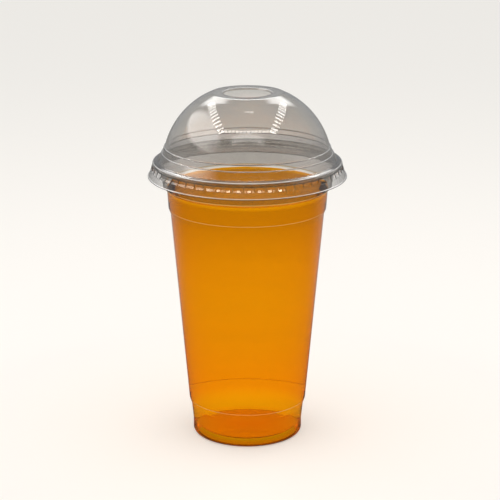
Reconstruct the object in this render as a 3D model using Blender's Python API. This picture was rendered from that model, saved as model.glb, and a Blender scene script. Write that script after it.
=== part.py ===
"""A clear plastic cold-drink cup with a press-on domed lid, filled with an orange drink.

Three pieces stand on one upright axis. The cup is one thermoformed wall: a recessed base,
a standing ring, a narrow foot band, a tapered body, a stacking step and ledge, a neck and a
rolled rim. The lid is one thermoformed wall: a skirt, a band pressed with small dimples,
a shoulder over the rim, a stepped base ring, a round dome and a flat top with a straw hole.
The drink is the liquid that stands in the cup. Metres, +Z up, origin on the floor at the axis.
"""
import math

import bmesh
import bpy

# Cup: wall, standing ring and foot
CUP_WALL = 0.0005
BASE_RECESS = 0.003
RECESS_SLOPE_WIDTH = 0.0014
STAND_INNER_RADIUS = 0.0252
STAND_WIDTH = 0.0019
FOOT_CORNER_RADIUS = 0.002
FOOT_HEEL_HEIGHT = 0.0045
FOOT_BAND_HEIGHT = 0.0089
FOOT_BAND_TAPER = 0.00095
FOOT_STEP_HEIGHT = 0.0036
FOOT_STEP_WIDTH = 0.00115

# Cup: rolled rim, neck, ledge, collar and stacking step, from the top downwards
CUP_HEIGHT = 0.1492
RIM_RADIUS = 0.0489
CURL_RADIUS = 0.0014
CURL_END_ANGLE = math.radians(-60)
NECK_FLARE = 0.0015
NECK_HEIGHT = 0.01
NECK_TAPER = 0.0009
LEDGE_HEIGHT = 0.0018
LEDGE_WIDTH = 0.0021
COLLAR_HEIGHT = 0.0101
COLLAR_TAPER = 0.0007
STEP_HEIGHT = 0.003
STEP_WIDTH = 0.0011

# Lid: wall, seat on the rim, band and skirt
LID_WALL = 0.0004
RIM_CLEARANCE = 0.0003
SEAT_START_ANGLE = math.radians(107)
BAND_HEIGHT = 0.0033
BAND_FLARE = 0.0009
SKIRT_HEIGHT = 0.0031
SKIRT_FLARE = 0.0015

# Lid: dimples pressed inwards around the band
DIMPLES = 60
DIMPLE_HEIGHT = 0.0031
DIMPLE_FACE_HEIGHT = 0.0012
DIMPLE_DROP = 0.0016

# Lid: shoulder, base ring, dome, flat top and straw hole
SHOULDER_WIDTH = 0.0042
SHOULDER_HEIGHT = 0.00415
BASE_RING_HEIGHT = 0.0031
BASE_RING_TAPER = 0.0013
DOME_LEDGE_WIDTH = 0.0004
DOME_HEIGHT = 0.02825
DOME_ARC_RADIUS = 0.0419
TOP_RADIUS = 0.0185
STRAW_HOLE_RADIUS = 0.0124
HOLE_LIP_DROP = 0.0011
HOLE_LIP_WIDTH = 0.0005

# Drink
DRINK_HEADSPACE = 0.014
DRINK_CLEARANCE = 0.0003

# Fineness of the round shapes
SIDES = DIMPLES
CORNER_STEPS = 3
CURL_STEPS = 8
SEAT_STEPS = 6
DOME_STEPS = 7
MERGE_DISTANCE = 0.000001
SMOOTH_ANGLE = math.radians(35)


def clear_scene():
    for old in list(bpy.data.objects):
        bpy.data.objects.remove(old)


def plastic_material(name, colour):
    material = bpy.data.materials.new(name)
    material.use_nodes = True
    shader = material.node_tree.nodes["Principled BSDF"]
    shader.inputs["Base Color"].default_value = colour
    shader.inputs["Metallic"].default_value = 0.0
    shader.inputs["Roughness"].default_value = 0.06
    shader.inputs["IOR"].default_value = 1.57
    shader.inputs["Transmission Weight"].default_value = 1.0
    return material


def drink_material(name, colour):
    material = bpy.data.materials.new(name)
    material.use_nodes = True
    shader = material.node_tree.nodes["Principled BSDF"]
    shader.inputs["Base Color"].default_value = colour
    shader.inputs["Metallic"].default_value = 0.0
    shader.inputs["Roughness"].default_value = 0.12
    shader.inputs["IOR"].default_value = 1.34
    return material


def arc(centre, radius, start, end, steps):
    """Points along a circle in the (radius, height) plane, both ends included."""
    points = []
    for step in range(steps + 1):
        angle = start + (end - start) * step / steps
        points.append((centre[0] + radius * math.cos(angle), centre[1] + radius * math.sin(angle)))
    return points


def offset_outline(outline, distance):
    """The outline moved to its left by a distance, with mitred corners.

    An end on the axis stays on the axis.
    """
    moved = []
    last = len(outline) - 1
    for index, (radius, height) in enumerate(outline):
        before = outline[max(index - 1, 0)]
        here = outline[index]
        after = outline[min(index + 1, last)]
        if index == 0:
            before = here
        if index == last:
            after = here
        normals = []
        for start, end in ((before, here), (here, after)):
            length = math.dist(start, end)
            if length > 0:
                normals.append(((start[1] - end[1]) / length, (end[0] - start[0]) / length))
        across = sum(normal[0] for normal in normals) / len(normals)
        along = sum(normal[1] for normal in normals) / len(normals)
        scale = distance / (across * across + along * along)
        new_radius = radius + across * scale
        if radius == 0:
            new_radius = 0.0
        moved.append((new_radius, height + along * scale))
    return moved


def cut_at_level(outline, level):
    """The part of a rising outline below a level, ended on the level."""
    kept = [outline[0]]
    for start, end in zip(outline, outline[1:]):
        if end[1] < level:
            kept.append(end)
            continue
        share = (level - start[1]) / (end[1] - start[1])
        kept.append((start[0] + (end[0] - start[0]) * share, level))
        break
    return kept


def cup_outline():
    """The cup's outer face, from the middle of its base to the end of the rim's curl."""
    curl_inner = CURL_RADIUS - CUP_WALL
    curl = arc(rim_curl_centre(), curl_inner, math.pi, CURL_END_ANGLE, CURL_STEPS)
    return foot_outline() + upper_outline(curl[0]) + curl


def foot_outline():
    """From the middle of the base over the standing ring up to the top of the foot's step."""
    stand_outer = STAND_INNER_RADIUS + STAND_WIDTH
    points = [(0.0, BASE_RECESS), (STAND_INNER_RADIUS - RECESS_SLOPE_WIDTH, BASE_RECESS)]
    points.append((STAND_INNER_RADIUS, 0.0))
    corner_centre = (stand_outer, FOOT_CORNER_RADIUS)
    points += arc(corner_centre, FOOT_CORNER_RADIUS, -math.pi / 2, 0, CORNER_STEPS)
    rises = [
        (0.0, FOOT_HEEL_HEIGHT),
        (FOOT_BAND_TAPER, FOOT_BAND_HEIGHT),
        (FOOT_STEP_WIDTH, FOOT_STEP_HEIGHT),
    ]
    for widening, rise in rises:
        points.append((points[-1][0] + widening, points[-1][1] + rise))
    return points


def upper_outline(curl_start):
    """From the top of the body's wall over the step and ledge up to the flare under the rim."""
    drops = [
        (NECK_FLARE, CURL_RADIUS),
        (NECK_TAPER, NECK_HEIGHT),
        (LEDGE_WIDTH, LEDGE_HEIGHT),
        (COLLAR_TAPER, COLLAR_HEIGHT),
        (STEP_WIDTH, STEP_HEIGHT),
    ]
    points = [curl_start]
    for narrowing, drop in drops:
        points.append((points[-1][0] - narrowing, points[-1][1] - drop))
    return points[:0:-1]


def rim_curl_centre():
    return (RIM_RADIUS - CURL_RADIUS, CUP_HEIGHT - CURL_RADIUS)


def lid_outline():
    """The lid's outer face, from the lip of the straw hole down to the skirt's edge."""
    curl_centre = rim_curl_centre()
    seat_radius = CURL_RADIUS + RIM_CLEARANCE + LID_WALL
    seat = arc(curl_centre, seat_radius, SEAT_START_ANGLE, 0, SEAT_STEPS)
    base_ring_radius = RIM_RADIUS - SHOULDER_WIDTH
    shoulder_top = seat[0][1] + SHOULDER_HEIGHT

    dome_radius = base_ring_radius - BASE_RING_TAPER - DOME_LEDGE_WIDTH
    dome_base = (dome_radius, shoulder_top + BASE_RING_HEIGHT)
    dome_top = (TOP_RADIUS, dome_base[1] + DOME_HEIGHT)

    points = [(STRAW_HOLE_RADIUS, dome_top[1] - HOLE_LIP_DROP)]
    points.append((STRAW_HOLE_RADIUS + HOLE_LIP_WIDTH, dome_top[1]))
    points += dome_arc(dome_top, dome_base)
    points.append((dome_base[0] + DOME_LEDGE_WIDTH, dome_base[1]))
    points.append((base_ring_radius, shoulder_top))
    points += seat
    points += [(band_radius(drop), curl_centre[1] - drop) for drop in dimple_drops()]
    points.append((band_radius(BAND_HEIGHT), curl_centre[1] - BAND_HEIGHT))
    skirt_radius = band_radius(BAND_HEIGHT) + SKIRT_FLARE
    points.append((skirt_radius, curl_centre[1] - BAND_HEIGHT - SKIRT_HEIGHT))
    return points


def band_radius(drop):
    """The band's outer radius at a drop below the middle of the rim's curl."""
    return RIM_RADIUS + RIM_CLEARANCE + LID_WALL + BAND_FLARE * drop / BAND_HEIGHT


def dimple_drops():
    """Drops of a dimple's upper end, its flat face's two ends and its lower end."""
    face = DIMPLE_FACE_HEIGHT / 2
    whole = DIMPLE_HEIGHT / 2
    return [DIMPLE_DROP - whole, DIMPLE_DROP - face, DIMPLE_DROP + face, DIMPLE_DROP + whole]


def dome_arc(top, base):
    """Points down the dome: an arc of its own radius between two ends, bulging outwards."""
    half_chord = math.dist(top, base) / 2
    middle = ((top[0] + base[0]) / 2, (top[1] + base[1]) / 2)
    depth = math.sqrt(DOME_ARC_RADIUS ** 2 - half_chord ** 2)
    outwards = ((top[1] - base[1]) / (2 * half_chord), (base[0] - top[0]) / (2 * half_chord))
    centre = (middle[0] - outwards[0] * depth, middle[1] - outwards[1] * depth)
    start = math.atan2(top[1] - centre[1], top[0] - centre[0])
    end = math.atan2(base[1] - centre[1], base[0] - centre[0])
    return arc(centre, DOME_ARC_RADIUS, start, end, DOME_STEPS)


def turned_mesh(outline, closed):
    """A bmesh spun around the upright axis from an outline of (radius, height) points."""
    mesh = bmesh.new()
    verts = [mesh.verts.new((radius, 0.0, height)) for radius, height in outline]
    pairs = list(zip(verts, verts[1:]))
    if closed:
        pairs.append((verts[-1], verts[0]))
    edges = [mesh.edges.new(pair) for pair in pairs]
    bmesh.ops.spin(
        mesh,
        geom=verts + edges,
        cent=(0, 0, 0),
        axis=(0, 0, 1),
        angle=2 * math.pi,
        steps=SIDES,
        use_merge=True,
    )
    bmesh.ops.remove_doubles(mesh, verts=mesh.verts, dist=MERGE_DISTANCE)
    bmesh.ops.recalc_face_normals(mesh, faces=mesh.faces)
    return mesh


def press_dimples(mesh):
    """Press the lid's band inwards once on each side, until it runs as straight as the rim.

    The band flares downwards, so a dimple is deepest at the lower end of its face.
    """
    middle = rim_curl_centre()[1]
    drops = dimple_drops()
    margin = (drops[1] - drops[0]) / 4
    upper_end, upper_face, lower_face, lower_end = [middle - drop for drop in drops]

    rows = [edge for edge in mesh.edges if is_row(edge, lower_end - margin, upper_end + margin)]
    made = bmesh.ops.subdivide_edges(mesh, edges=rows, cuts=1, use_grid_fill=True)
    new_verts = [item for item in made["geom_inner"] if isinstance(item, bmesh.types.BMVert)]
    for vert in new_verts:
        if lower_face - margin < vert.co.z < upper_face + margin:
            depth = band_radius(middle - vert.co.z) - band_radius(0)
            inwards = vert.co.copy()
            inwards.z = 0.0
            inwards.normalize()
            vert.co -= inwards * depth
    bmesh.ops.recalc_face_normals(mesh, faces=mesh.faces)


def is_row(edge, low, high):
    """Whether an edge runs level around the axis between two heights of the band."""
    first, second = (vert.co for vert in edge.verts)
    level = abs(first.z - second.z) < MERGE_DISTANCE
    around = abs(first.xy.length - second.xy.length) < MERGE_DISTANCE
    outside = first.xy.length > RIM_RADIUS
    return level and around and outside and low < first.z < high


def add_object(name, mesh, material):
    data = bpy.data.meshes.new(name)
    mesh.to_mesh(data)
    mesh.free()
    piece = bpy.data.objects.new(name, data)
    bpy.context.collection.objects.link(piece)
    data.materials.append(material)
    data.shade_smooth()
    data.set_sharp_from_angle(angle=SMOOTH_ANGLE)
    return piece


def build_cup(material):
    outer = cup_outline()
    inner = offset_outline(outer, CUP_WALL)
    return add_object("cup", turned_mesh(outer + inner[::-1], closed=False), material)


def build_drink(material):
    against_wall = offset_outline(cup_outline(), CUP_WALL + DRINK_CLEARANCE)
    level = CUP_HEIGHT - DRINK_HEADSPACE
    outline = cut_at_level(against_wall, level)
    outline.append((0.0, level))
    return add_object("drink", turned_mesh(outline, closed=False), material)


def build_lid(material):
    outer = lid_outline()
    inner = offset_outline(outer, -LID_WALL)
    mesh = turned_mesh(outer + inner[::-1], closed=True)
    press_dimples(mesh)
    return add_object("dome_lid", mesh, material)


def main():
    clear_scene()
    cup_plastic = plastic_material("cup_clear_plastic", (0.78, 0.79, 0.78, 1.0))
    lid_plastic = plastic_material("lid_clear_plastic", (0.72, 0.73, 0.73, 1.0))
    orange_drink = drink_material("orange_drink", (0.83, 0.27, 0.005, 1.0))
    build_cup(cup_plastic)
    build_drink(orange_drink)
    build_lid(lid_plastic)


main()
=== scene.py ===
"""Takeaway cup of orange drink under a clear dome lid: the finished surfaces and the studio."""
import math

import bpy
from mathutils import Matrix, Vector


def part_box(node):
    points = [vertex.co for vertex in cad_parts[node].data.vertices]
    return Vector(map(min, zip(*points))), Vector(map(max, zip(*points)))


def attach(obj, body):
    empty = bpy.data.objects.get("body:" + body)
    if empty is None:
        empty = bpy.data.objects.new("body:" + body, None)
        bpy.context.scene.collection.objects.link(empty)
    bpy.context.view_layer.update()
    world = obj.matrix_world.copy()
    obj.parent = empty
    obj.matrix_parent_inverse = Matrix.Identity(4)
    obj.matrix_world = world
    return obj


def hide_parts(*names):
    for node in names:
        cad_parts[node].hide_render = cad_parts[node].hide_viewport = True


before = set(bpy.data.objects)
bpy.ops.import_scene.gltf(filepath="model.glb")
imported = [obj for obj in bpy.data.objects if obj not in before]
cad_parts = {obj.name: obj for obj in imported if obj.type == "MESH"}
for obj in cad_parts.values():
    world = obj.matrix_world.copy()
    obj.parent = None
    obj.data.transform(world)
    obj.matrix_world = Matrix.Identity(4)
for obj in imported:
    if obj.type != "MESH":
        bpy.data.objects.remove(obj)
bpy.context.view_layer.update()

MM = 0.001

# What the CAD model says about places, in millimetres
lid_high = Vector(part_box("dome_lid")[1]) / MM
drink_high = Vector(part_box("drink")[1]) / MM

# The lid's top stays a hair under the CAD lid's, so that the finished box never stands above it
LID_TOP = lid_high.z - 0.01
LID_HEIGHT = 43.85
SKIRT_RADIUS = lid_high.x
SKIRT_EDGE = LID_TOP - LID_HEIGHT
DRINK_LEVEL = drink_high.z

CUP_WALL = 0.5
LID_WALL = 0.4
CUP_SIDES = 240

# The rim's curl, an arc in degrees from its inner side over the top and down outside
CURL_CENTRE = (47.5, 147.8)
CURL_RADIUS = 0.9
CURL_START, CURL_END = 180.0, -60.0
CURL_STEPS = 18

# How far the drink's skin lies in from the cup's outer face: a little less than the wall, so that
# no air shows between the two
DRINK_INSET = 0.4
# Rings of its curved-up edge, each (width, drop), from the wall inwards
DRINK_EDGE = [(0.5, -0.35), (0.9, -0.2), (2.0, -0.05), (16.0, 0.0)]
# Its surface: faces this level or more, down to this depth
SURFACE_SLOPE = 0.6
SURFACE_DEPTH = 2.0

# The dome, an arc from its top edge down its side, in degrees from level
DOME_CENTRE = (2.39, 146.65)
DOME_RADIUS = 41.9
DOME_START, DOME_END = 63.9, 14.6
DOME_STEPS = 44

# The straw hole's rounded edge, within this radius and this far below the top, which gets the
# painted highlight of the crease lines
HOLE_HIGHLIGHT_RADIUS = 13.1
HOLE_HIGHLIGHT_DROP = 0.45

# The band of dimples: the columns pressed in of each six, the rows cut for them, and the share of
# its radius that a pressed point keeps
DIMPLES = 60
COLUMNS_PER_DIMPLE = 6
POCKET_COLUMNS = (0, 1, 2, 4, 5)
LID_SIDES = DIMPLES * COLUMNS_PER_DIMPLE
DIMPLE_TURN = math.radians(1.0)
BAND_ROWS = (144.7, 145.7, 147.0, 147.55)
POCKET_LOW, POCKET_HIGH = 145.5, 147.3
BAND_INNER, BAND_OUTER = 49.0, 51.0
POCKET_SHARE = 0.9893

# Corners take at most this share of the straight runs beside them
LONGEST_CORNER = 0.46
MERGE_DISTANCE = 0.001
SMOOTH_BELOW = math.radians(20)


# Drawing outlines

def fillet(before, here, after, turn=14.0):
    """The points of one corner (radius, height, fillet) between its two neighbours, rounded."""
    corner, wanted = Vector(here[:2]), here[2]
    back = Vector(before[:2]) - corner
    ahead = Vector(after[:2]) - corner
    if wanted == 0:
        return [corner]
    bend = math.pi - back.angle(ahead)
    longest = LONGEST_CORNER * min(back.length, ahead.length)
    reach = min(wanted * math.tan(bend / 2), longest)
    middle = (back.normalized() + ahead.normalized()).normalized()
    centre = corner + middle * math.hypot(reach / math.tan(bend / 2), reach)
    first = corner + back.normalized() * reach - centre
    side = 1 if first.y * back.x - first.x * back.y > 0 else -1
    steps = max(2, round(math.degrees(bend) / turn))
    points = []
    for step in range(steps + 1):
        angle = side * bend * step / steps
        across = first.x * math.cos(angle) - first.y * math.sin(angle)
        along = first.x * math.sin(angle) + first.y * math.cos(angle)
        points.append(centre + Vector((across, along)))
    return points


def rounded(corners, hold=0.3):
    """Corner points drawn as an outline with round corners.

    A holding point stands a little way off each corner, so that the straight walls stay straight.
    """
    runs = [[Vector(corners[0][:2])]]
    for before, here, after in zip(corners, corners[1:], corners[2:]):
        runs.append(fillet(before, here, after))
    runs.append([Vector(corners[-1][:2])])
    outline = []
    for run, following in zip(runs, runs[1:]):
        outline += run
        straight = following[0] - run[-1]
        if straight.length > 3 * hold:
            step = straight.normalized() * hold
            outline += [run[-1] + step, following[0] - step]
    outline += runs[-1]
    return [(point.x, point.y) for point in outline]


def arc(centre, radius, start, end, steps):
    """The points of an arc between two angles in degrees."""
    points = []
    for step in range(steps + 1):
        angle = math.radians(start + (end - start) * step / steps)
        points.append((centre[0] + radius * math.cos(angle), centre[1] + radius * math.sin(angle)))
    return points


# Modelling by hand

def only(piece):
    """Make one piece the selected and active one."""
    bpy.ops.object.select_all(action="DESELECT")
    piece.select_set(True)
    bpy.context.view_layer.objects.active = piece


def start_ring(name, radius, height, sides, turn=0.0):
    """A circle to draw a turned piece out from, left in edit mode with its ring selected."""
    bpy.ops.object.select_all(action="DESELECT")
    bpy.ops.mesh.primitive_circle_add(
        vertices=sides,
        radius=radius * MM,
        location=(0.0, 0.0, height * MM),
        rotation=(0.0, 0.0, turn),
    )
    ring = bpy.context.object
    ring.name = name
    bpy.ops.object.transform_apply(location=True, rotation=True)
    bpy.ops.object.mode_set(mode="EDIT")
    bpy.ops.mesh.select_all(action="SELECT")
    return ring


def draw_out(outline):
    """Extrude the selected ring from the outline's first point through all the others."""
    for (radius, height), (next_radius, next_height) in zip(outline, outline[1:]):
        move = (0.0, 0.0, (next_height - height) * MM)
        bpy.ops.mesh.extrude_region_move(TRANSFORM_OT_translate={"value": move})
        share = next_radius / radius
        bpy.ops.transform.resize(
            value=(share, share, 1.0), center_override=(0.0, 0.0, next_height * MM)
        )


def close_pole():
    """Draw the selected ring in to one point on the axis."""
    bpy.ops.mesh.extrude_region_move()
    bpy.ops.mesh.merge(type="CENTER")


def select_rows(piece, low, high, inner=0.0, outer=math.inf, keep=None):
    """Select in edit mode the points between two heights and two radii, in millimetres.

    A last test, if given, keeps only some of them.
    """
    bpy.ops.object.mode_set(mode="OBJECT")
    mesh = piece.data
    for face in mesh.polygons:
        face.select = False
    for colour_with_painted_sides in mesh.edges:
        colour_with_painted_sides.select = False
    for point in mesh.vertices:
        radius = math.hypot(point.co.x, point.co.y) / MM
        inside = low <= point.co.z / MM <= high and inner <= radius <= outer
        point.select = inside and (keep is None or keep(point.co))
    bpy.ops.object.mode_set(mode="EDIT")
    bpy.ops.mesh.select_mode(type="VERT")


def face_outwards(piece):
    """Merge doubles and turn all faces outwards, going by a face half way up the side."""
    bpy.ops.mesh.select_all(action="SELECT")
    bpy.ops.mesh.remove_doubles(threshold=MERGE_DISTANCE * MM)
    bpy.ops.mesh.normals_make_consistent(inside=False)
    bpy.ops.object.mode_set(mode="OBJECT")
    heights = [corner[2] for corner in piece.bound_box]
    middle = (min(heights) + max(heights)) / 2
    side = min(piece.data.polygons, key=lambda face: abs(face.center.z - middle))
    bpy.ops.object.mode_set(mode="EDIT")
    if side.normal.dot(side.center * Vector((1.0, 1.0, 0.0))) < 0:
        bpy.ops.mesh.flip_normals()


def thicken(piece, wall):
    """Give a shell its wall on the inside."""
    bpy.ops.object.mode_set(mode="OBJECT")
    solid = piece.modifiers.new("wall", "SOLIDIFY")
    solid.thickness = wall * MM
    solid.offset = -1.0
    solid.use_even_offset = True
    solid.use_rim = True
    only(piece)
    bpy.ops.object.modifier_apply(modifier=solid.name)


def dress(piece, material, body, slot, *nodes):
    """Finish a piece, put it on its body and let it stand for its CAD nodes."""
    bpy.ops.object.mode_set(mode="OBJECT")
    only(piece)
    bpy.ops.object.shade_smooth_by_angle(angle=SMOOTH_BELOW)
    piece.data.materials.append(material)
    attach(piece, body)
    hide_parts(*nodes)


# The cup and its drink

CUP_CORNERS = [
    (46.6, 147.8, 0.0),
    (45.1, 146.4, 1.0),
    (44.2, 136.4, 0.5),
    (42.1, 134.6, 0.7),
    (41.4, 124.5, 1.2),
    (40.3, 121.5, 0.8),
    (31.2, 19.0, 1.6),
    (30.05, 15.4, 0.6),
    (29.1, 6.5, 0.8),
    (29.1, 0.0, 2.0),
    (25.4, 0.0, 0.45),
    (23.8, 3.0, 0.6),
    (5.0, 3.0, 0.0),
]

# The cup's creases that get a painted highlight line
CUP_CREASE_HIGHLIGHTS = [
    (136.1, 136.7, 43.8, -1.0),
    (124.3, 124.7, 41.0, -1.0),
    (18.8, 19.25, 30.9, -1.0),
]


def model_cup_shell():
    """The cup's outer face, from under the rim's curl down to the middle of the base."""
    outline = rounded(CUP_CORNERS)
    shell = start_ring("clear_cup", *outline[0], CUP_SIDES)
    draw_out(outline)
    close_pole()
    face_outwards(shell)
    bpy.ops.object.mode_set(mode="OBJECT")
    return shell


def model_drink(shell):
    """The drink fills the shell: a copy drawn in, cut level and given a curved-up edge."""
    only(shell)
    bpy.ops.object.duplicate()
    drink = bpy.context.object
    drink.name = "orange_drink_fill"
    bpy.ops.object.mode_set(mode="EDIT")
    bpy.ops.mesh.select_all(action="SELECT")
    bpy.ops.transform.shrink_fatten(value=-DRINK_INSET * MM)
    bpy.ops.mesh.bisect(
        plane_co=(0.0, 0.0, DRINK_LEVEL * MM),
        plane_no=(0.0, 0.0, 1.0),
        use_fill=True,
        clear_outer=True,
    )
    for width, drop in DRINK_EDGE:
        bpy.ops.mesh.inset(thickness=width * MM, depth=drop * MM)
    bpy.ops.mesh.poke()
    face_outwards(drink)
    bpy.ops.object.mode_set(mode="OBJECT")
    return drink


def finish_surface(drink, material):
    """Give the drink's level top its own finish."""
    drink.data.materials.append(material)
    for face in drink.data.polygons:
        high = face.center.z > (DRINK_LEVEL - SURFACE_DEPTH) * MM
        if high and face.normal.z > SURFACE_SLOPE:
            face.material_index = 1


def paint_crease_highlights(piece, material, highlight_creases):
    """Paint highlight lines on sharp creases, and on the straw hole's edge, with a paler, cloudier
    plastic.

    Each crease is (lowest, highest, inner radius, least slope), the slope that of the outer face's
    normal, from -1 for one that looks down to 1 for one that looks up.
    """
    piece.data.materials.append(material)
    for face in piece.data.polygons:
        place = face.center / MM
        radius = math.hypot(place.x, place.y)
        outward = face.normal.x * place.x + face.normal.y * place.y
        for low, high, inner, slope in highlight_creases:
            if low < place.z < high and radius > inner and outward > 0 and face.normal.z > slope:
                face.material_index = 1
        if place.z > LID_TOP - HOLE_HIGHLIGHT_DROP and radius < HOLE_HIGHLIGHT_RADIUS:
            face.material_index = 1


def roll_rim(cup):
    """Roll the cup's upper edge over into its curl, then give the whole cup its wall."""
    top = CUP_CORNERS[0][1]
    only(cup)
    bpy.ops.object.mode_set(mode="EDIT")
    select_rows(cup, top - 0.01, top + 0.01)
    draw_out(arc(CURL_CENTRE, CURL_RADIUS, CURL_START, CURL_END, CURL_STEPS))
    thicken(cup, CUP_WALL)


# The lid

def lid_outline():
    """The lid's outer face, from the lip of the straw hole down to the skirt's edge.

    The first and last steps of the dome's arc give way to the round corners above and below it.
    """
    dome = arc(DOME_CENTRE, DOME_RADIUS, DOME_START, DOME_END, DOME_STEPS)
    top = rounded([
        (12.4, LID_TOP - 1.1, 0.0),
        (12.9, LID_TOP, 0.6),
        (18.6, LID_TOP, 2.2),
        dome[3] + (0.0,),
    ])
    foot = rounded([
        dome[-3] + (0.0,),
        (42.8, 157.2, 0.2),
        (43.5, 157.05, 0.45),
        (44.2, 154.02, 0.2),
        (44.85, 153.9, 0.45),
        (46.89, 149.85, 0.5),
        (47.9, 149.9, 1.3),
        (49.45, 149.05, 1.3),
        (49.6, 147.7, 0.8),
        (50.5, 144.4, 0.9),
        (51.45, SKIRT_EDGE + 0.3, 0.3),
        (SKIRT_RADIUS, SKIRT_EDGE + 0.1, 0.2),
        (SKIRT_RADIUS - 0.02, SKIRT_EDGE - 0.2, 0.0),
    ])
    return top + dome[4:-3] + foot


# The lid's creases that get a painted highlight line
LID_CREASE_HIGHLIGHTS = [
    (156.8, 157.3, 42.6, 0.93),
    (153.7, 154.1, 44.0, 0.93),
    (148.6, 149.8, 48.9, 0.5),
    (SKIRT_EDGE - 0.2, SKIRT_EDGE + 0.4, 51.3, 0.6),
]


def press_dimples(lid):
    """Press small flat pockets into the band, evenly around it."""
    def in_pocket(place):
        angle = math.atan2(place.y, place.x) - DIMPLE_TURN + math.pi / 2
        column = round(math.degrees(angle)) % COLUMNS_PER_DIMPLE
        return column in POCKET_COLUMNS

    select_rows(lid, POCKET_LOW, POCKET_HIGH, BAND_INNER, BAND_OUTER, in_pocket)
    bpy.ops.transform.resize(
        value=(POCKET_SHARE, POCKET_SHARE, 1.0), center_override=(0.0, 0.0, POCKET_HIGH * MM)
    )


def model_lid():
    """The lid, drawn out from the straw hole's lip, pressed and given its wall."""
    outline = lid_outline()
    lid = start_ring("clear_dome_lid", *outline[0], LID_SIDES, DIMPLE_TURN)
    draw_out(outline)
    cut_rows(*BAND_ROWS)
    press_dimples(lid)
    face_outwards(lid)
    thicken(lid, LID_WALL)
    return lid


def cut_rows(*heights):
    """Cut level rows of points into the whole piece in edit mode."""
    for height in heights:
        bpy.ops.mesh.select_all(action="SELECT")
        bpy.ops.mesh.bisect(plane_co=(0.0, 0.0, height * MM), plane_no=(0.0, 0.0, 1.0))


# Finishes

# Height of the moulding marks, in metres
MARK_DEPTH = 0.00001
# How early the plastic and the drink take on their side colours as they turn away. Those side
# colours are painted light and shade: mostly painted shade, a little of it the longer path through
# tinted plastic, and a painted highlight on the crease lines
PLASTIC_PAINTED_SIDE_BLEND = 0.6
DRINK_PAINTED_SIDE_BLEND = 0.3
# Painted shade at the drink's sides, where it turns away
DRINK_PAINTED_SIDE_SHADE = (0.36, 0.11, 0.0)
DRINK_BENDING = 1.09


def soft_step(owner, value, start, end):
    """A smooth rise from 0 to 1 as a value goes from start to end."""
    step = owner.node_tree.nodes.new("ShaderNodeMapRange")
    step.interpolation_type = "SMOOTHSTEP"
    step.inputs["From Min"].default_value = start
    step.inputs["From Max"].default_value = end
    owner.node_tree.links.new(value, step.inputs["Value"])
    return step.outputs["Result"]


def product(owner, first, second):
    """Two values multiplied."""
    both = owner.node_tree.nodes.new("ShaderNodeMath")
    both.operation = "MULTIPLY"
    owner.node_tree.links.new(first, both.inputs[0])
    owner.node_tree.links.new(second, both.inputs[1])
    return both.outputs[0]


def mix_colour(owner, first, second, factor):
    """One colour changed into another; each is a colour or another node's output."""
    mix = owner.node_tree.nodes.new("ShaderNodeMix")
    mix.data_type = "RGBA"
    for socket, colour in ((mix.inputs["A"], first), (mix.inputs["B"], second)):
        if isinstance(colour, tuple):
            socket.default_value = colour + (1.0,)
        else:
            owner.node_tree.links.new(colour, socket)
    owner.node_tree.links.new(factor, mix.inputs["Factor"])
    return mix.outputs["Result"]


def set_stops(ramp, colours):
    """Put (position, colour) pairs on a colour ramp."""
    stops = ramp.elements
    for stop, (position, colour) in zip(stops, (colours[0], colours[-1])):
        stop.position = position
        stop.color = colour + (1.0,)
    for position, colour in colours[1:-1]:
        stops.new(position).color = colour + (1.0,)


def moulding_marks():
    """A shared finish: faint flow lines and small unevenness of thin moulded plastic."""
    group = bpy.data.node_groups.new("moulding_marks", "ShaderNodeTree")
    socket = group.interface.new_socket
    socket(name="Place", in_out="INPUT", socket_type="NodeSocketVector")
    base = socket(name="Smoothness", in_out="INPUT", socket_type="NodeSocketFloat")
    socket(name="Tint", in_out="INPUT", socket_type="NodeSocketColor")
    socket(name="Colour", in_out="OUTPUT", socket_type="NodeSocketColor")
    socket(name="Roughness", in_out="OUTPUT", socket_type="NodeSocketFloat")
    socket(name="Height", in_out="OUTPUT", socket_type="NodeSocketFloat")
    base.default_value = 0.03

    nodes, links = group.nodes, group.links
    given = nodes.new("NodeGroupInput")
    result = nodes.new("NodeGroupOutput")

    rings = nodes.new("ShaderNodeMapping")
    rings.inputs["Scale"].default_value = (14.0, 14.0, 190.0)
    links.new(given.outputs["Place"], rings.inputs["Vector"])
    flow = nodes.new("ShaderNodeTexNoise")
    flow.inputs["Scale"].default_value = 1.0
    flow.inputs["Detail"].default_value = 2.0
    links.new(rings.outputs["Vector"], flow.inputs["Vector"])

    cloud = nodes.new("ShaderNodeTexNoise")
    cloud.inputs["Scale"].default_value = 55.0
    cloud.inputs["Detail"].default_value = 3.0
    links.new(given.outputs["Place"], cloud.inputs["Vector"])

    height = nodes.new("ShaderNodeMath")
    height.operation = "ADD"
    links.new(flow.outputs["Fac"], height.inputs[0])
    links.new(cloud.outputs["Fac"], height.inputs[1])
    links.new(height.outputs[0], result.inputs["Height"])

    rough = nodes.new("ShaderNodeMath")
    rough.operation = "MULTIPLY_ADD"
    rough.inputs[1].default_value = 0.03
    links.new(cloud.outputs["Fac"], rough.inputs[0])
    links.new(given.outputs["Smoothness"], rough.inputs[2])
    links.new(rough.outputs[0], result.inputs["Roughness"])

    darker = nodes.new("ShaderNodeMix")
    darker.data_type = "RGBA"
    darker.blend_type = "MULTIPLY"
    darker.inputs["B"].default_value = (0.93, 0.925, 0.92, 1.0)
    links.new(flow.outputs["Fac"], darker.inputs["Factor"])
    links.new(given.outputs["Tint"], darker.inputs["A"])
    links.new(darker.outputs["Result"], result.inputs["Colour"])
    return group


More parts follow.
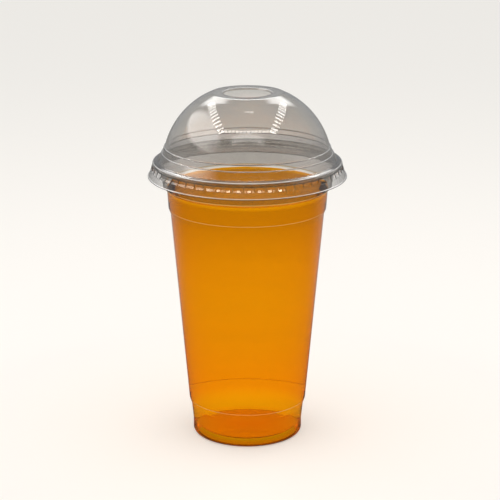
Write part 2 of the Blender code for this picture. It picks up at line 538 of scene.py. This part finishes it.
def clear_plastic(name, marks, low, high, bending, smoothness, clearness=1.0):
    """Thin clear plastic, finished from low to high, with painted light and shade.

    Each of the two is (height in mm, tint seen straight on, tint seen from the side). The change
    with height is partly the plastic's own tint and partly painted shade. The tint seen from the
    side is painted light and shade. On the crease lines both tints are a painted highlight.
    """
    low_height, low_tint, low_side_painted_light = low
    high_height, high_tint, high_side_painted_light = high
    material = bpy.data.materials.new(name)
    material.use_nodes = True
    nodes, links = material.node_tree.nodes, material.node_tree.links
    shader = nodes["Principled BSDF"]
    shader.inputs["Transmission Weight"].default_value = clearness
    shader.inputs["IOR"].default_value = bending
    shader.inputs["Metallic"].default_value = 0.0
    place = nodes.new("ShaderNodeTexCoord")
    finish = nodes.new("ShaderNodeGroup")
    finish.node_tree = marks
    finish.inputs["Smoothness"].default_value = smoothness
    links.new(place.outputs["Object"], finish.inputs["Place"])
    parts = nodes.new("ShaderNodeSeparateXYZ")
    links.new(place.outputs["Object"], parts.inputs[0])
    rise = soft_step(material, parts.outputs["Z"], low_height * MM, high_height * MM)
    # Tint by height: partly the plastic's own, partly painted shade, and a painted highlight on the
    # crease lines
    height_tint_and_painted_light = mix_colour(material, low_tint, high_tint, rise)
    links.new(height_tint_and_painted_light, finish.inputs["Tint"])
    # Painted light and shade towards the sides, mixed in as the face turns away
    facing_for_painted_sides = nodes.new("ShaderNodeLayerWeight")
    facing_for_painted_sides.inputs["Blend"].default_value = PLASTIC_PAINTED_SIDE_BLEND
    side_painted_light = mix_colour(material, low_side_painted_light, high_side_painted_light, rise)
    colour_with_painted_sides = mix_colour(material, finish.outputs["Colour"], side_painted_light, facing_for_painted_sides.outputs["Facing"])
    links.new(colour_with_painted_sides, shader.inputs["Base Color"])
    links.new(finish.outputs["Roughness"], shader.inputs["Roughness"])
    uneven = nodes.new("ShaderNodeBump")
    uneven.inputs["Strength"].default_value = 1.0
    uneven.inputs["Distance"].default_value = MARK_DEPTH
    links.new(finish.outputs["Height"], uneven.inputs["Height"])
    links.new(uneven.outputs["Normal"], shader.inputs["Normal"])
    return material


# The drink's colours from its bottom, 0, to its level, 1: painted light and shade, brighter low
# down, darker in the shade high up under the lid, and bright at the top for the lit surface
DRINK_PAINTED_LIGHT_BY_HEIGHT = [
    (0.0, (1.0, 0.28, 0.0)),
    (0.03, (1.0, 0.56, 0.0)),
    (0.07, (1.0, 0.5, 0.0)),
    (0.11, (0.95, 0.32, 0.0)),
    (0.16, (0.87, 0.28, 0.0)),
    (0.45, (0.83, 0.305, 0.0)),
    (0.62, (0.82, 0.31, 0.0)),
    (0.72, (0.78, 0.28, 0.0)),
    (0.92, (0.58, 0.21, 0.0)),
    (0.98, (0.58, 0.21, 0.0)),
    (0.992, (1.0, 0.48, 0.0)),
    (1.0, (1.0, 0.48, 0.0)),
]


def orange_drink(name, clearness, gloss):
    """A slightly cloudy orange drink with painted light and shade: brighter low down, darker high
    up in the lid's shade, with a bright surface painted as lit, and painted shade at its sides.
    """
    material = bpy.data.materials.new(name)
    material.use_nodes = True
    nodes, links = material.node_tree.nodes, material.node_tree.links
    shader = nodes["Principled BSDF"]
    shader.inputs["Transmission Weight"].default_value = clearness
    shader.inputs["Specular IOR Level"].default_value = gloss
    shader.inputs["IOR"].default_value = DRINK_BENDING
    shader.inputs["Metallic"].default_value = 0.0
    place = nodes.new("ShaderNodeTexCoord")

    height = nodes.new("ShaderNodeSeparateXYZ")
    links.new(place.outputs["Object"], height.inputs[0])
    share = nodes.new("ShaderNodeMath")
    share.operation = "DIVIDE"
    share.inputs[1].default_value = DRINK_LEVEL * MM
    links.new(height.outputs["Z"], share.inputs[0])
    depth = nodes.new("ShaderNodeValToRGB")
    set_stops(depth.color_ramp, DRINK_PAINTED_LIGHT_BY_HEIGHT)
    links.new(share.outputs[0], depth.inputs["Fac"])

    cloud = nodes.new("ShaderNodeTexNoise")
    cloud.inputs["Scale"].default_value = 28.0
    cloud.inputs["Detail"].default_value = 4.0
    links.new(place.outputs["Object"], cloud.inputs["Vector"])
    pulp = nodes.new("ShaderNodeMix")
    pulp.data_type = "RGBA"
    pulp.blend_type = "MULTIPLY"
    pulp.inputs["B"].default_value = (0.96, 0.92, 0.9, 1.0)
    links.new(cloud.outputs["Fac"], pulp.inputs["Factor"])
    links.new(depth.outputs["Color"], pulp.inputs["A"])
    # Painted shade at the drink's sides as they turn away
    facing_for_painted_sides = nodes.new("ShaderNodeLayerWeight")
    facing_for_painted_sides.inputs["Blend"].default_value = DRINK_PAINTED_SIDE_BLEND
    colour_with_painted_sides = mix_colour(material, pulp.outputs["Result"], DRINK_PAINTED_SIDE_SHADE, facing_for_painted_sides.outputs["Facing"])
    links.new(colour_with_painted_sides, shader.inputs["Base Color"])

    soft = nodes.new("ShaderNodeMapRange")
    soft.inputs["To Min"].default_value = 0.05
    soft.inputs["To Max"].default_value = 0.1
    links.new(cloud.outputs["Fac"], soft.inputs["Value"])
    links.new(soft.outputs["Result"], shader.inputs["Roughness"])
    return material


# The studio

# The floor's colours at distances from the cup in metres, warmer and brighter near the cup with a
# painted glow that fills the cup's shadow, and as gloss mirrors it near the cup, far behind it, and
# from inside the drink, where it is painted bright to light the drink's foot
FLOOR_COLOURS_WITH_PAINTED_GLOW = [
    (0.06, (0.87, 0.815, 0.755)),
    (0.16, (0.775, 0.75, 0.715)),
    (1.0, (0.745, 0.73, 0.7)),
]
FLOOR_MIRRORED = (0.1, 0.09, 0.08)
FLOOR_MIRRORED_BEHIND = (0.35, 0.345, 0.335)
FLOOR_DEEP_PAINTED_LIGHT = (0.85, 0.8, 0.74)
# Its own glow: seen straight, so that it looks white; through plastic, and through the lid's skirt,
# the cup and the drink together, a painted glow that brightens what is seen through them
STRAIGHT_GLOW = 0.22
THROUGH_PAINTED_GLOW = 0.43
DEEP_PAINTED_GLOW = 1.2

# The tent's plain light, its colour when seen, and its colours as gloss mirrors them, the last for
# light turned back inside the drink
PALE_LIGHT = (0.9, 0.895, 0.89)
PALE_SEEN = (0.93, 0.915, 0.885)
TENT_SIDE = (0.3, 0.3, 0.305)
TENT_ROOF = (0.2, 0.19, 0.175)
TENT_BACK = (0.4, 0.41, 0.42)
TENT_OPENING = (0.05, 0.045, 0.04)
WINDOW = (2.8, 2.68, 2.58)
PANE = (4.5, 4.48, 4.43)
PANE_THROUGH = (1.8, 1.8, 1.77)
FRONT_STRIP = (1.9, 1.88, 1.84)
TENT_DEEP = (1.3, 1.25, 1.2)

# The lamps, each kind (width, length, power), and where their rows run
LAMP_HEIGHT = 0.6
LAMP_WHITE = (1.0, 0.985, 0.96)
SIDE_LAMP = (0.085, 0.018, 0.046)
FRONT_LAMP = (0.03, 0.04, 0.02)
MIDDLE_LAMP = (0.07, 0.02, 0.012)
SIDE_LAMPS, SIDE_DISTANCE, SIDE_START, SIDE_PITCH = 12, 0.285, -0.2, 0.057
FRONT_LAMPS, FRONT_START, FRONT_PITCH, FRONT_DISTANCE = 16, -0.308, 0.0401, -0.257

CAMERA_PLACE = (0.0, -0.9207, 0.3733)
CAMERA_DOWN = 16.513
CAMERA_LENS = 130.7
CAMERA_SHIFT = 0.0052


def pale_floor():
    """A pale floor, with a warmer painted glow near the cup, dim where gloss mirrors it, and a
    painted glow where it is seen through the plastic and the drink.
    """
    bpy.ops.object.select_all(action="DESELECT")
    bpy.ops.mesh.primitive_plane_add(size=12.0, location=(0.0, 0.0, 0.0))
    floor = bpy.context.object
    floor.name = "studio_floor"
    material = bpy.data.materials.new("studio_floor")
    material.use_nodes = True
    nodes, links = material.node_tree.nodes, material.node_tree.links
    shader = nodes["Principled BSDF"]
    shader.inputs["Roughness"].default_value = 0.9
    shader.inputs["Specular IOR Level"].default_value = 0.0
    place = nodes.new("ShaderNodeTexCoord")
    away = nodes.new("ShaderNodeVectorMath")
    away.operation = "LENGTH"
    links.new(place.outputs["Object"], away.inputs[0])
    floor_with_painted_glow = nodes.new("ShaderNodeValToRGB")
    set_stops(floor_with_painted_glow.color_ramp, FLOOR_COLOURS_WITH_PAINTED_GLOW)
    links.new(away.outputs["Value"], floor_with_painted_glow.inputs["Fac"])
    parts = nodes.new("ShaderNodeSeparateXYZ")
    links.new(place.outputs["Object"], parts.inputs[0])
    behind = soft_step(material, parts.outputs["Y"], 0.05, 0.3)
    in_gloss = mix_colour(material, FLOOR_MIRRORED, FLOOR_MIRRORED_BEHIND, behind)
    ray = nodes.new("ShaderNodeLightPath")
    # Painted light: seen from inside the drink the floor turns bright, to light the drink's foot
    deep = soft_step(material, ray.outputs["Transmission Depth"], 4.0, 5.0)
    in_gloss = mix_colour(material, in_gloss, FLOOR_DEEP_PAINTED_LIGHT, deep)
    colour = mix_colour(material, floor_with_painted_glow.outputs["Color"], in_gloss, ray.outputs["Glossy Depth"])
    links.new(colour, shader.inputs["Base Color"])
    links.new(colour, shader.inputs["Emission Color"])
    straight = nodes.new("ShaderNodeMath")
    straight.operation = "MULTIPLY"
    straight.inputs[1].default_value = STRAIGHT_GLOW
    links.new(ray.outputs["Is Camera Ray"], straight.inputs[0])
    straight_and_painted_glow = nodes.new("ShaderNodeMath")
    straight_and_painted_glow.operation = "MULTIPLY_ADD"
    straight_and_painted_glow.inputs[1].default_value = THROUGH_PAINTED_GLOW
    links.new(ray.outputs["Is Transmission Ray"], straight_and_painted_glow.inputs[0])
    links.new(straight.outputs[0], straight_and_painted_glow.inputs[2])
    with_deep_painted_glow = nodes.new("ShaderNodeMath")
    with_deep_painted_glow.operation = "MULTIPLY_ADD"
    with_deep_painted_glow.inputs[1].default_value = DEEP_PAINTED_GLOW
    # Painted glow for what is seen through the skirt, the cup and the drink together
    through_all = soft_step(material, ray.outputs["Transmission Depth"], 7.0, 8.0)
    links.new(through_all, with_deep_painted_glow.inputs[0])
    links.new(straight_and_painted_glow.outputs[0], with_deep_painted_glow.inputs[2])
    links.new(with_deep_painted_glow.outputs[0], shader.inputs["Emission Strength"])
    floor.data.materials.append(material)


def pale_surroundings():
    """A white light tent: pale when seen and through the plastic, darker where gloss mirrors it.

    In gloss it has a dark opening towards the camera with a bright strip high over it, a window on
    the left and a bright pane high up at the back.
    """
    world = bpy.data.worlds.new("light_tent")
    bpy.context.scene.world = world
    world.use_nodes = True
    nodes, links = world.node_tree.nodes, world.node_tree.links
    background = nodes["Background"]
    direction = nodes.new("ShaderNodeTexCoord")
    parts = nodes.new("ShaderNodeSeparateXYZ")
    links.new(direction.outputs["Generated"], parts.inputs[0])
    overhead = soft_step(world, parts.outputs["Z"], 0.35, 0.75)
    opening = soft_step(world, parts.outputs["Y"], -0.2, -0.7)
    sideways = nodes.new("ShaderNodeMath")
    sideways.operation = "ABSOLUTE"
    links.new(parts.outputs["X"], sideways.inputs[0])
    central = soft_step(world, sideways.outputs[0], 0.5, 0.4)
    beyond = soft_step(world, parts.outputs["Y"], 0.5, 0.62)
    raised = soft_step(world, parts.outputs["Z"], 0.4, 0.55)
    pane = product(world, product(world, beyond, raised), central)
    left = soft_step(world, parts.outputs["X"], -0.5, -0.62)
    above = soft_step(world, parts.outputs["Z"], 0.36, 0.46)
    window = product(world, left, above)
    near = soft_step(world, parts.outputs["Y"], -0.48, -0.54)
    not_nearest = soft_step(world, parts.outputs["Y"], -0.72, -0.62)
    middle = soft_step(world, sideways.outputs[0], 0.42, 0.26)
    front_strip = product(world, product(world, near, not_nearest), middle)
    behind = soft_step(world, parts.outputs["Y"], 0.7, 0.85)
    ray = nodes.new("ShaderNodeLightPath")
    pane_light = mix_colour(world, PANE, PANE_THROUGH, ray.outputs["Transmission Depth"])
    tent = mix_colour(world, TENT_SIDE, TENT_ROOF, overhead)
    deep = soft_step(world, ray.outputs["Transmission Depth"], 4.0, 5.0)
    for colour, where in (
        (TENT_BACK, behind),
        (WINDOW, window),
        (pane_light, pane),
        (TENT_OPENING, opening),
        (FRONT_STRIP, front_strip),
        (TENT_DEEP, deep),
    ):
        tent = mix_colour(world, tent, colour, where)
    seen = nodes.new("ShaderNodeMath")
    seen.operation = "MAXIMUM"
    links.new(ray.outputs["Is Camera Ray"], seen.inputs[0])
    links.new(ray.outputs["Is Transmission Ray"], seen.inputs[1])
    light = mix_colour(world, PALE_LIGHT, PALE_SEEN, seen.outputs[0])
    light = mix_colour(world, light, tent, ray.outputs["Glossy Depth"])
    light = mix_colour(world, light, PALE_LIGHT, ray.outputs["Diffuse Depth"])
    links.new(light, background.inputs["Color"])
    background.inputs["Strength"].default_value = 1.0


def lamp(name, place, width, length, power):
    """A small soft lamp that faces down."""
    data = bpy.data.lights.new(name, "AREA")
    data.shape = "RECTANGLE"
    data.size = width
    data.size_y = length
    data.energy = power
    data.color = LAMP_WHITE
    holder = bpy.data.objects.new(name, data)
    bpy.context.collection.objects.link(holder)
    holder.location = place
    holder.visible_camera = False


def lamp_frame():
    """The tent's lamp frame overhead.

    It has a row of short lamps down each side, a faint front row whose middle stands furthest
    forward, and one small lamp in the middle.
    """
    for side in (-1, 1):
        for index in range(SIDE_LAMPS):
            along = SIDE_START + index * SIDE_PITCH
            lamp("side_lamp", (side * SIDE_DISTANCE, along, LAMP_HEIGHT), *SIDE_LAMP)
    for index in range(FRONT_LAMPS):
        across = FRONT_START + index * FRONT_PITCH
        place = (across, FRONT_DISTANCE + across * across, LAMP_HEIGHT)
        lamp("front_lamp", place, *FRONT_LAMP)
    lamp("middle_lamp", (0.012, 0.018, LAMP_HEIGHT), *MIDDLE_LAMP)


def camera():
    """The camera at the photo's angle."""
    data = bpy.data.cameras.new("camera")
    data.sensor_width = 36.0
    data.lens = CAMERA_LENS
    data.shift_x = CAMERA_SHIFT
    stand = bpy.data.objects.new("camera", data)
    bpy.context.collection.objects.link(stand)
    stand.location = CAMERA_PLACE
    stand.rotation_euler = (math.radians(90 - CAMERA_DOWN), 0.0, 0.0)
    bpy.context.scene.camera = stand
    bpy.context.scene.view_settings.view_transform = "Standard"


marks = moulding_marks()
# The cup: above 137 mm a darker tint, painted shade for the shadow and dark reflections under the
# lid; low down lighter, warmer sides, painted light
cup_plastic = clear_plastic(
    "clear_cup_plastic",
    marks,
    low=(135.0, (0.97, 0.965, 0.955), (1.0, 0.96, 0.9)),
    high=(137.0, (0.57, 0.56, 0.545), (0.7, 0.68, 0.66)),
    bending=1.3,
    smoothness=0.02,
)
# The lid: a greyer tint on the dome than on the skirt, partly the plastic's own tint and partly
# painted shade for dark reflections; near-black sides low down, painted shade
lid_plastic = clear_plastic(
    "clear_lid_plastic",
    marks,
    low=(150.0, (0.87, 0.865, 0.86), (0.17, 0.17, 0.175)),
    high=(161.0, (0.7, 0.685, 0.662), (0.65, 0.655, 0.655)),
    bending=1.57,
    smoothness=0.015,
)
# Paler, cloudier plastic for the painted highlight lines on the creases: orange low on the cup,
# whitish higher up and on the lid
cup_crease_highlights = clear_plastic(
    "cup_crease_painted_highlight",
    marks,
    low=(136.5, (1.0, 0.66, 0.24), (1.0, 0.7, 0.3)),
    high=(139.5, (0.9, 0.88, 0.86), (0.9, 0.88, 0.86)),
    bending=1.3,
    smoothness=0.2,
    clearness=0.62,
)
lid_crease_highlights = clear_plastic(
    "lid_crease_painted_highlight",
    marks,
    low=(150.0, (0.92, 0.9, 0.88), (0.85, 0.85, 0.85)),
    high=(158.0, (0.92, 0.915, 0.9), (0.85, 0.85, 0.85)),
    bending=1.57,
    smoothness=0.2,
    clearness=0.6,
)

cup = model_cup_shell()
drink = model_drink(cup)
roll_rim(cup)
lid = model_lid()
dress(cup, cup_plastic, "cup", "cup_plastic", "cup")
dress(drink, orange_drink("orange_drink", 0.95, 0.3), "cup", "orange_drink", "drink")
finish_surface(drink, orange_drink("orange_drink_surface", 0.88, 0.03))
dress(lid, lid_plastic, "lid", "lid_plastic", "dome_lid")
paint_crease_highlights(cup, cup_crease_highlights, CUP_CREASE_HIGHLIGHTS)
paint_crease_highlights(lid, lid_crease_highlights, LID_CREASE_HIGHLIGHTS)

pale_floor()
pale_surroundings()
lamp_frame()
camera()
